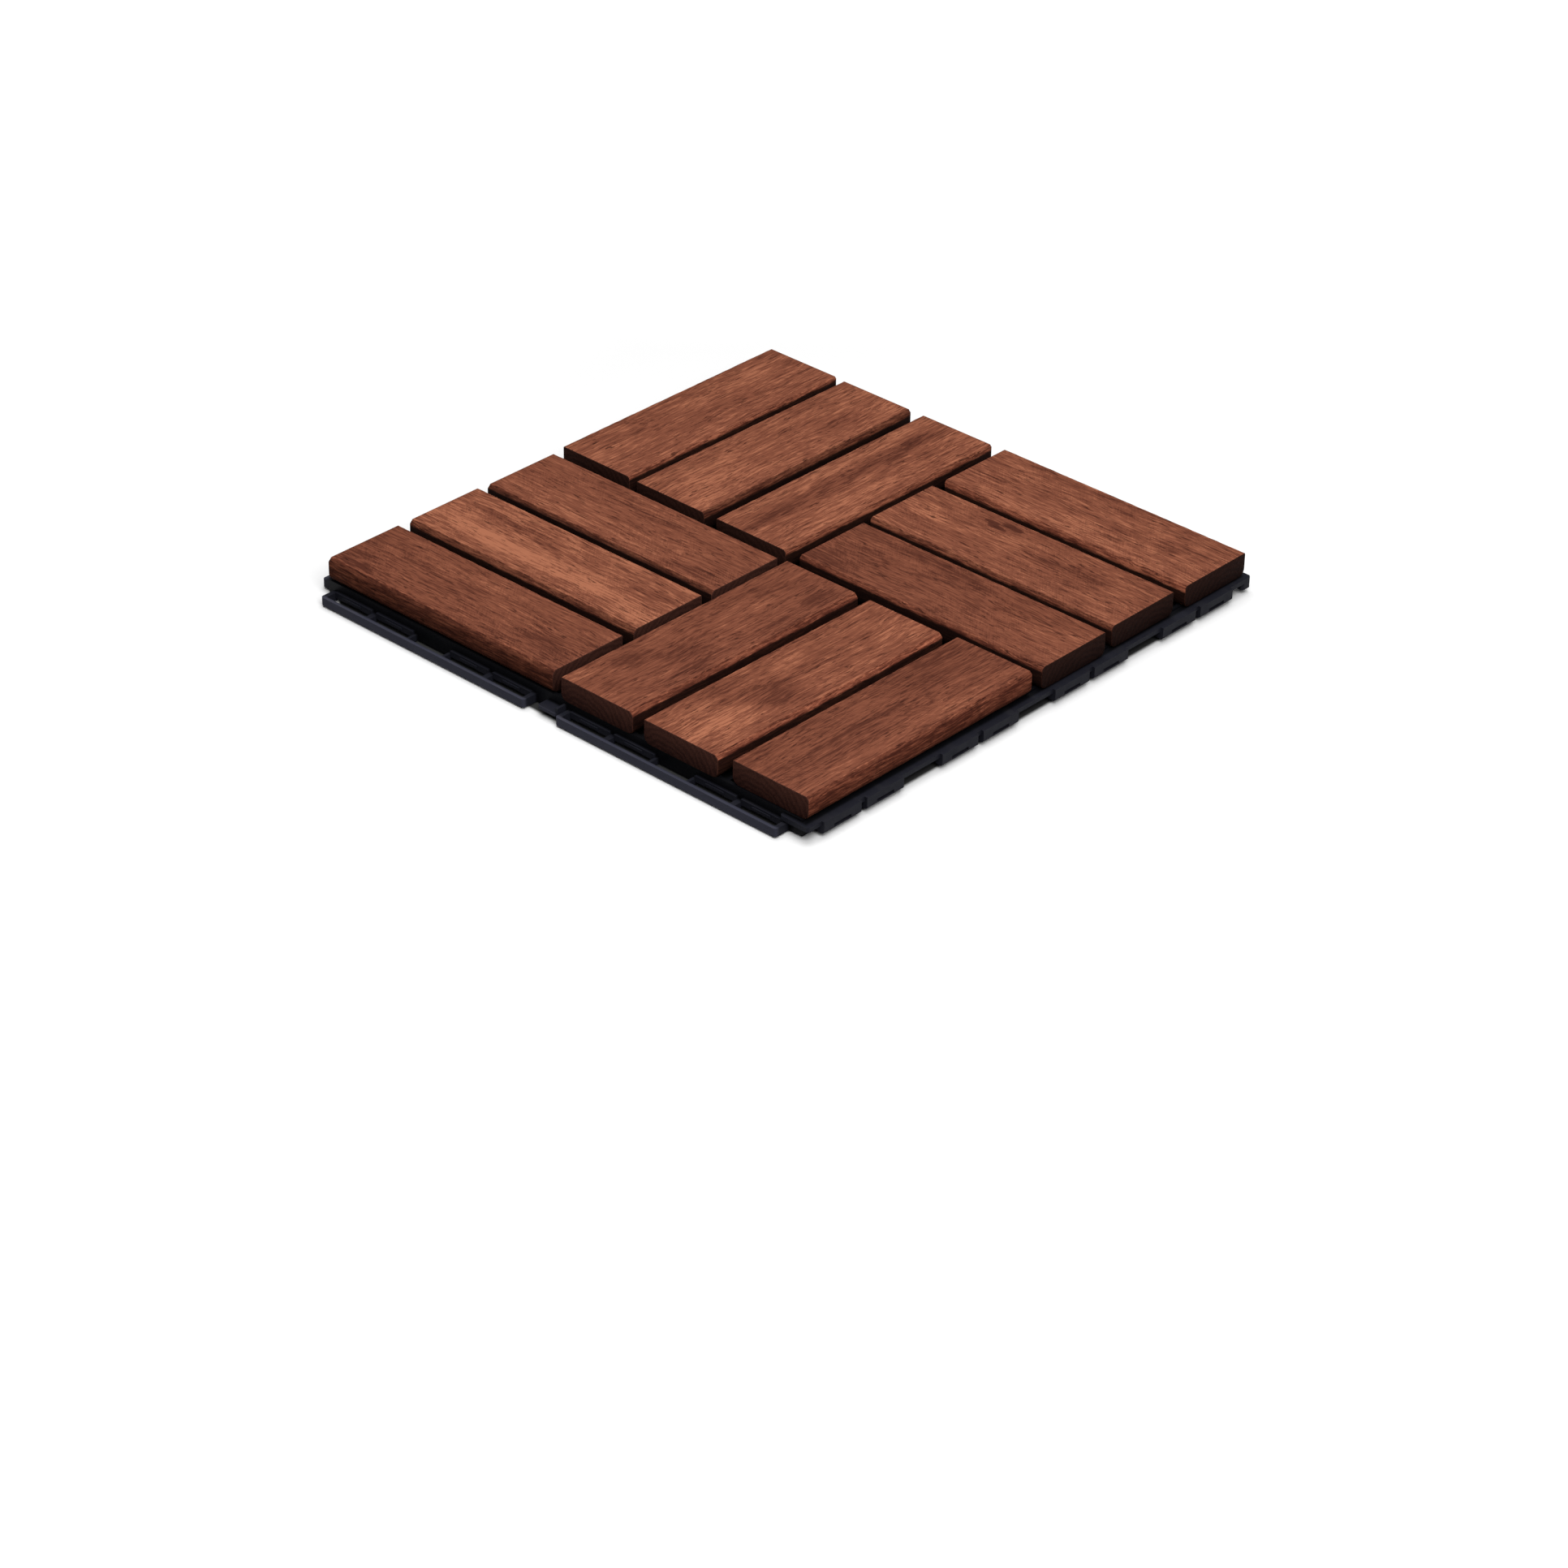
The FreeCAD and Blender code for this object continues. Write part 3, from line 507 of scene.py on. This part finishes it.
def oiled_wood(name, number, groups, settings):
    """One slat's own material: the shared grain with this slat's seed, tone and patches."""
    wavy_grain, patch, grain = groups
    look = SLATS[name]
    _, quarter, row = name.split("_")
    material, wiring, shader = new_material("oiled wood %s %s" % (quarter, row))
    place = wiring.node("ShaderNodeTexCoord").outputs
    figure = wiring.group(wavy_grain, {"Place": place["Object"], "Seed": float(number)})
    level = 0.0
    for along, across, half_length, half_width, strength in look.patches:
        level = wiring.add(level, wiring.group(patch, {
            "Straight": figure["Straight"], "Wavy": figure["Wavy"], "Along": along, "Across": across,
            "Half Length": half_length, "Half Width": half_width, "Strength": strength})["Tone"])
    made = wiring.group(grain, {
        "Straight": figure["Straight"], "Wavy": figure["Wavy"], "Normal": place["Normal"],
        "Tone": wiring.add(level, look.tone), "Pale": (*settings.pale, 1), "Middle": (*settings.middle, 1),
        "Deep": (*settings.deep, 1), "Pore": (*settings.pore, 1), "Edge Width": look.edge_width,
        "Edge Share": look.edge_share, "Side Share": look.side_share, "Clean Depth": look.clean_depth,
        "Open Side": float(OPEN_SIDE.get(name, 0)), "End Share": END_SHARE[quarter],
        "Roughness": settings.roughness})
    dress(wiring, shader, made["Colour"], made["Roughness"], made["Height"], strength=0.55, distance=0.25 * MM)
    shader.inputs["Specular IOR Level"].default_value = 0.06
    return material


def slat_section(width, thick, crisp, worn, low):
    """Points round a slat's section, each with its outward direction. The worn edge is nearly a flat bevel."""
    half_width, half_thick, steps = width / 2, thick / 2, 7
    # Each corner: its centre, its radius, the degrees at which it starts and how flat it is, 0 to 1.
    corners = (
        (half_width - crisp, half_thick - crisp, crisp, 0, 0.0),
        (worn - half_width, half_thick - worn, worn, 90, 0.75),
        (low - half_width, low - half_thick, low, 180, 0.0),
        (half_width - low, low - half_thick, low, 270, 0.0),
    )
    points = []
    for y, z, radius, start, flat in corners:
        first, last = math.radians(start), math.radians(start + 90)
        for step in range(steps + 1):
            share = step / steps
            angle = first + (last - first) * share
            out = Vector((0, math.cos(angle), math.sin(angle)))
            chord = Vector((0, math.cos(first), math.sin(first))).lerp(
                Vector((0, math.cos(last), math.sin(last))), share)
            points.append((Vector((0, y, z)) + out.lerp(chord, flat) * radius, out))
    return points


def slat_stations(length, round_end):
    """Places along a slat from end to end, each with how far its section is drawn in there."""
    steps, spacing = 4, 1.6 * MM
    turns = [math.radians(90 * step / steps) for step in range(steps + 1)]
    near = [(round_end * (1 - math.sin(a)), round_end * (1 - math.cos(a))) for a in reversed(turns)]
    inner = length - 2 * round_end
    count = round(inner / spacing)
    stations = [(-length / 2 + d, inset) for d, inset in near]
    stations += [(-length / 2 + round_end + inner * i / count, 0.0) for i in range(1, count)]
    stations += [(length / 2 - d, inset) for d, inset in reversed(near)]
    return stations


def edge_wander(x, place, number):
    """How far a slat's surface wanders inwards, in shares: slow waves along it, with small chips."""
    waves = noise.noise(Vector((x * 260, place.y * 90 + 7 * number, place.z * 60)))
    chips = noise.noise(Vector((x * 900, place.y * 200, 3 * number + place.z * 100)))
    return max(0.0, 0.35 + 0.5 * waves + 0.5 * chips)


def slat_mesh(name, length, width, thick, number, settings):
    """A planed bar with rounded long edges that wander a little and softened sawn ends."""
    section = slat_section(width, thick, settings.round_top, SLATS[name].edge_width * MM, settings.round_low)
    mesh = bmesh.new()
    rings = []
    for x, inset in slat_stations(length, settings.round_end):
        ring = []
        for place, out in section:
            wander = settings.uneven * edge_wander(x, place, number)
            spot = place - out * (inset + wander * abs(out.y * out.z) * 2)
            ring.append(mesh.verts.new((x, spot.y, spot.z)))
        rings.append(ring)
    count = len(section)
    for before, after in zip(rings, rings[1:]):
        for i in range(count):
            j = (i + 1) % count
            mesh.faces.new((before[i], before[j], after[j], after[i]))
    mesh.faces.new(list(reversed(rings[0])))
    mesh.faces.new(rings[-1])
    return finished_mesh(mesh, "wood_" + name)


# Moulded plastic

def skin_group():
    """A moulded skin: fine spark-eroded texture, faint flow marks and a little dust on what faces up."""
    wiring, given, out = new_group(
        "moulded skin",
        [("Place", "vector"), ("Normal", "vector"), ("Colour", "colour"), ("Roughness", "value")],
        [("Colour", "colour"), ("Roughness", "value"), ("Height", "value")])
    place = wiring.vector("MULTIPLY", given["Place"], TO_MM)
    texture = wiring.noise(place, (0.22, 0.22, 0.22), roughness=0.6)
    flow = wiring.noise(place, (16, 5, 5), detail=3.0, roughness=0.6)
    patches = wiring.noise(place, (40, 40, 12), detail=3.0)
    _, _, up = wiring.parts(given["Normal"])
    dust = wiring.times(wiring.smooth(up, 0.6, 0.95), wiring.smooth(flow, 0.45, 0.75))
    lift = wiring.add(0.86, wiring.times(patches, 0.3))
    colour = wiring.tinted(given["Colour"], lift, lift, lift)
    colour = wiring.blend(wiring.times(dust, 0.10), colour, DUST)

    # The base is painted in shade under the slats, and painted light makes its outermost rails and lugs paler.
    x, y, _ = wiring.parts(place)
    reach = wiring.larger(wiring.maths("ABSOLUTE", x), wiring.maths("ABSOLUTE", y))
    rim_light_and_shade = wiring.times(wiring.smooth(reach, *SHADE_UNDER_SLATS, 0.20, 1.0), wiring.smooth(reach, *LIGHT_ON_OUTERMOST, 1.0, 3.2))
    colour = wiring.tinted(colour, rim_light_and_shade, rim_light_and_shade, rim_light_and_shade)
    rough = wiring.add(given["Roughness"], wiring.swing(flow, 0.25))
    rough = wiring.add(rough, wiring.times(dust, 0.12))
    height = wiring.add(wiring.times(texture, 0.5), wiring.times(flow, 0.25))
    wiring.link(out, {"Colour": colour, "Roughness": rough, "Height": height})
    return wiring.tree


def moulded_plastic(skin, settings):
    """The base's material: the moulded skin in its colour."""
    material, wiring, shader = new_material("moulded base plastic")
    place = wiring.node("ShaderNodeTexCoord").outputs
    made = wiring.group(skin, {
        "Place": place["Object"], "Normal": place["Normal"], "Colour": (*settings.colour, 1),
        "Roughness": settings.roughness})
    dress(wiring, shader, made["Colour"], made["Roughness"], made["Height"], strength=0.35, distance=0.05 * MM)
    shader.inputs["Specular IOR Level"].default_value = 0.08
    return material


# Screws

def zinc_plate(settings):
    """Dull zinc plating, cloudy, with fine turning marks."""
    material, wiring, shader = new_material("zinc plate")
    place = wiring.vector("MULTIPLY", wiring.node("ShaderNodeTexCoord").outputs["Object"], TO_MM)
    cloud = wiring.noise(place, (1.6, 1.6, 1.6), detail=3.0)
    turning = wiring.noise(place, (4.0, 4.0, 0.12))
    shade = wiring.add(0.72, wiring.times(cloud, 0.5))
    colour = wiring.tinted((*settings.colour, 1), shade, shade, shade)
    rough = wiring.add(0.30, wiring.times(cloud, 0.25))
    dress(wiring, shader, colour, rough, turning, strength=0.25, distance=0.03 * MM)
    shader.inputs["Metallic"].default_value = 1.0
    return material


def recess_depth(x, y, reach):
    """Depth of the cross recess in a screw's head at x, y from its middle."""
    half_arm, deepest, wall = 0.42 * MM, 1.35 * MM, 0.12 * MM
    radius = math.hypot(x, y)
    if radius >= reach:
        return 0.0
    into_arm = half_arm * (1.15 - 0.5 * radius / reach) - min(abs(x), abs(y))
    if into_arm <= 0:
        return 0.0
    return deepest * min(1.0, into_arm / wall) * min(1.0, 1.6 * (1 - radius / reach))


def screw_rings(settings, low, high):
    """Rings from the middle of the head's face up to the point. Each tells its radius and height at an angle."""
    rounding, chamfer, plain_shank, core_share, thread_slope = 1.4 * MM, 0.12 * MM, 3.2 * MM, 0.72, 3.4
    face_shares = (0.08, 0.16, 0.26, 0.36, 0.46, 0.58, 0.72)
    seat, neck = low + HEAD_HEIGHT, high - POINT_LENGTH
    rings = []
    for share in face_shares:
        radius = (HEAD_RADIUS - rounding) * share / face_shares[-1]
        rings.append(lambda a, r=radius: (
            r, low + recess_depth(r * math.cos(a), r * math.sin(a), settings.recess_reach)))
    for step in range(1, 6):
        angle = math.radians(90 * step / 5)
        radius = HEAD_RADIUS - rounding + rounding * math.sin(angle)
        rings.append(lambda a, r=radius, z=low + rounding * (1 - math.cos(angle)): (r, z))
    start = seat + plain_shank
    for radius, height in (
            (HEAD_RADIUS, seat - chamfer), (HEAD_RADIUS - chamfer, seat), (SHANK_RADIUS, seat),
            (SHANK_RADIUS, start)):
        rings.append(lambda a, r=radius, z=height: (r, z))
    core, pitch = SHANK_RADIUS * core_share, settings.thread_pitch
    count = int((neck - start) / (pitch / 5))
    for step in range(1, count + 1):
        height = start + (neck - start) * step / count
        rings.append(lambda a, z=height: (
            core + (SHANK_RADIUS - core) * max(0.0, 1 - abs(((z / pitch - a / math.tau) % 1) - 0.5) * thread_slope),
            z))
    for step in range(1, 7):
        share = step / 7
        rings.append(lambda a, s=share: (core * (1 - s), neck + (high - neck) * s))
    return rings


def screw_group_mesh(settings, places):
    """All the screws in one mesh, heads down."""
    low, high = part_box("slat_screws")
    rings = screw_rings(settings, low.z, high.z)
    mesh = bmesh.new()
    for number, (x, y) in enumerate(places):
        turn = 0.7 * number
        centre = mesh.verts.new((x, y, low.z + recess_depth(0, 0, settings.recess_reach)))
        point = mesh.verts.new((x, y, high.z))
        made = []
        for ring in rings:
            row = []
            for i in range(settings.turns):
                angle = math.tau * i / settings.turns
                radius, height = ring(angle)
                row.append(mesh.verts.new((
                    x + radius * math.cos(angle + turn), y + radius * math.sin(angle + turn), height)))
            made.append(row)
        for i in range(settings.turns):
            j = (i + 1) % settings.turns
            mesh.faces.new((centre, made[0][j], made[0][i]))
            mesh.faces.new((point, made[-1][i], made[-1][j]))
            for before, after in zip(made, made[1:]):
                mesh.faces.new((before[i], before[j], after[j], after[i]))
    return finished_mesh(mesh, "deck_screws")


def screw_places():
    """Two screws on the middle line of each slat, quarter by quarter, in metres."""
    lines = [-SLAT_PITCH / 2, -1.5 * SLAT_PITCH, -2.5 * SLAT_PITCH]
    quarter = [(x, y) for x in (lines[0], lines[2]) for y in lines]
    places = []
    for _ in range(4):
        places += quarter
        quarter = [(-y, x) for x, y in quarter]
    return places


# Stage

def floor_material(settings):
    """White to the camera, with the tile's shadow near it and painted shade under the tile, and darker to the light
    that it throws back.
    """
    shade_under_tile = (-5 * MM, -2.5 * MM)
    corner_cut = 20 * MM
    fade_to_white = (60 * MM, 420 * MM)
    material, wiring, shader = new_material("studio floor")
    ray = wiring.node("ShaderNodeLightPath").outputs
    seen = wiring.larger(ray["Is Camera Ray"], ray["Is Glossy Ray"])
    seen = wiring.larger(seen, ray["Is Transmission Ray"])

    # How far a point lies past the tile's sides, with the corners cut.
    low, high = (Vector(corner) for corner in CAD_BOX)
    middle, half = (low + high) / 2, (high - low) / 2
    place = wiring.vector("SUBTRACT", wiring.node("ShaderNodeTexCoord").outputs["Object"], tuple(middle))
    x, y, _ = wiring.parts(wiring.vector("ABSOLUTE", place))
    past = wiring.larger(wiring.minus(x, half.x), wiring.minus(y, half.y))
    past = wiring.larger(past, wiring.minus(wiring.add(x, y), half.x + half.y - corner_cut))
    # Under the tile the camera sees the dark bounce colour: painted shade.
    white_to_camera = wiring.times(seen, wiring.smooth(past, *shade_under_tile))
    far = wiring.times(seen, wiring.smooth(past, *fade_to_white))
    bounce = settings.floor_bounce
    wiring.link(shader.inputs, {
        "Base Color": wiring.blend(white_to_camera, (bounce, bounce, bounce, 1), (*settings.floor, 1)),
        "Emission Color": wiring.blend(far, (0, 0, 0, 1), (1, 1, 1, 1))})
    shader.inputs["Emission Strength"].default_value = 1.0
    shader.inputs["Roughness"].default_value = 0.9
    shader.inputs["Specular IOR Level"].default_value = 0.0
    return material


def studio_floor(settings):
    """A wide plain floor under the tile."""
    mesh = bmesh.new()
    bmesh.ops.create_grid(mesh, x_segments=1, y_segments=1, size=FLOOR_HALF)
    data = bpy.data.meshes.new("studio_floor")
    mesh.to_mesh(data)
    mesh.free()
    data.materials.append(floor_material(settings))
    floor = new_object("studio_floor", data)


def studio_world(settings):
    """Even light from all round, and a white backdrop to the camera."""
    world = bpy.data.worlds.new("studio")
    bpy.context.scene.world = world
    world.use_nodes = True
    wiring = Wiring(world.node_tree)
    background = world.node_tree.nodes["Background"]
    ray = wiring.node("ShaderNodeLightPath").outputs["Is Camera Ray"]
    background.inputs["Color"].default_value = (1, 1, 1, 1)
    wiring.link(background.inputs, {"Strength": wiring.smooth(ray, 0.0, 1.0, settings.ambient, 1.0)})


def area_lamp(name, place, size, power):
    """A square lamp that shines on the tile."""
    data = bpy.data.lights.new(name, "AREA")
    data.shape = "SQUARE"
    data.size = size
    data.energy = power
    lamp = new_object(name, data)
    lamp.location = place
    lamp.rotation_mode = "QUATERNION"
    lamp.rotation_quaternion = (-Vector(place)).to_track_quat("-Z", "Y")


def studio_camera():
    """The camera, fitted to the corners of the slats."""
    turn, rise, roll = math.radians(42.3114), math.radians(32.0061), math.radians(0.9846)
    distance, to_right, to_top = 2.122757, 0.00035, -0.1059
    back = Vector((math.sin(turn) * math.cos(rise), -math.cos(turn) * math.cos(rise), math.sin(rise)))
    level = Vector((math.cos(turn), math.sin(turn), 0))
    upright = back.cross(level)
    right = level * math.cos(roll) + upright * math.sin(roll)
    up = upright * math.cos(roll) - level * math.sin(roll)
    data = bpy.data.cameras.new("studio camera")
    data.sensor_width = 36.0
    data.lens = 105.46
    data.clip_start, data.clip_end = 0.05, 50.0
    camera = new_object("studio camera", data)
    place = Vector((0, 0, TILE_HEIGHT)) + back * distance + level * to_right + upright * to_top
    camera.matrix_world = Matrix.Translation(place) @ Matrix((
        (right.x, up.x, back.x, 0), (right.y, up.y, back.y, 0), (right.z, up.z, back.z, 0), (0, 0, 0, 1)))
    bpy.context.scene.camera = camera


# Operators

class DECKTILE_OT_slats(bpy.types.Operator):
    """Lay the twelve oiled slats where the CAD slats are"""
    bl_idname = "deck_tile.slats"
    bl_label = "Slats"

    def execute(self, context):
        settings = context.scene.deck_tile.slats
        groups = figure_group(), patch_group(), grain_group()
        for number, name in enumerate(SLATS, 1):
            low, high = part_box(name)
            middle, size = (low + high) / 2, high - low
            length, width = max(size.x, size.y), min(size.x, size.y)
            data = slat_mesh(name, length, width, size.z, number, settings)
            data.materials.append(oiled_wood(name, number, groups, settings))
            slat = new_object("wood_" + name, data)
            slat.location = middle
            slat.rotation_euler.z = math.radians(90) if size.y > size.x else 0.0
            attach(slat, "root")
            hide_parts(name)
        return {"FINISHED"}


class DECKTILE_OT_base(bpy.types.Operator):
    """Give the moulded base its plastic and soften its edges"""
    bl_idname = "deck_tile.base"
    bl_label = "Moulded base"

    def execute(self, context):
        settings = context.scene.deck_tile.base
        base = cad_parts["moulded_base"]
        base.data.materials.clear()
        base.data.materials.append(moulded_plastic(skin_group(), settings))
        soft = base.modifiers.new("soft edges", "BEVEL")
        soft.width = settings.soft_edge
        soft.segments = 2
        soft.limit_method = "ANGLE"
        soft.angle_limit = math.radians(40)
        soft.use_clamp_overlap = True
        return {"FINISHED"}


class DECKTILE_OT_screws(bpy.types.Operator):
    """Drive the screws that hold the slats from below"""
    bl_idname = "deck_tile.screws"
    bl_label = "Screws"

    def execute(self, context):
        settings = context.scene.deck_tile.screws
        data = screw_group_mesh(settings, screw_places())
        data.materials.append(zinc_plate(settings))
        screws = new_object("deck_screws", data)
        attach(screws, "root")
        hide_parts("slat_screws")
        return {"FINISHED"}


class DECKTILE_OT_stage(bpy.types.Operator):
    """Set the floor, the lamps and the camera"""
    bl_idname = "deck_tile.stage"
    bl_label = "Stage"

    def execute(self, context):
        settings = context.scene.deck_tile.stage
        context.scene.view_settings.view_transform = "Standard"
        studio_floor(settings)
        studio_world(settings)
        area_lamp("key lamp", KEY_PLACE, KEY_SIZE, settings.key)
        area_lamp("overhead lamp", OVERHEAD_PLACE, OVERHEAD_SIZE, settings.overhead)
        studio_camera()
        return {"FINISHED"}


class DECKTILE_PT_panel(bpy.types.Panel):
    """The tile's pieces and stage"""
    bl_idname = "DECKTILE_PT_panel"
    bl_label = "Deck tile"
    bl_space_type = "VIEW_3D"
    bl_region_type = "UI"
    bl_category = "Deck tile"

    def draw(self, context):
        for step in STEPS:
            self.layout.operator(step.bl_idname)
        for part in ("slats", "base", "screws", "stage"):
            settings = getattr(context.scene.deck_tile, part)
            box = self.layout.box()
            for name in settings.__annotations__:
                box.prop(settings, name)


STEPS = (DECKTILE_OT_slats, DECKTILE_OT_base, DECKTILE_OT_screws, DECKTILE_OT_stage)
CLASSES = (SlatSettings, BaseSettings, ScrewSettings, StageSettings, TileSettings, *STEPS, DECKTILE_PT_panel)


def register():
    for kind in CLASSES:
        bpy.utils.register_class(kind)
    bpy.types.Scene.deck_tile = PointerProperty(type=TileSettings)


def unregister():
    del bpy.types.Scene.deck_tile
    for kind in reversed(CLASSES):
        bpy.utils.unregister_class(kind)


def main():
    register()
    bpy.ops.deck_tile.slats()
    bpy.ops.deck_tile.base()
    bpy.ops.deck_tile.screws()
    bpy.ops.deck_tile.stage()


if __name__ == "__main__":
    main()
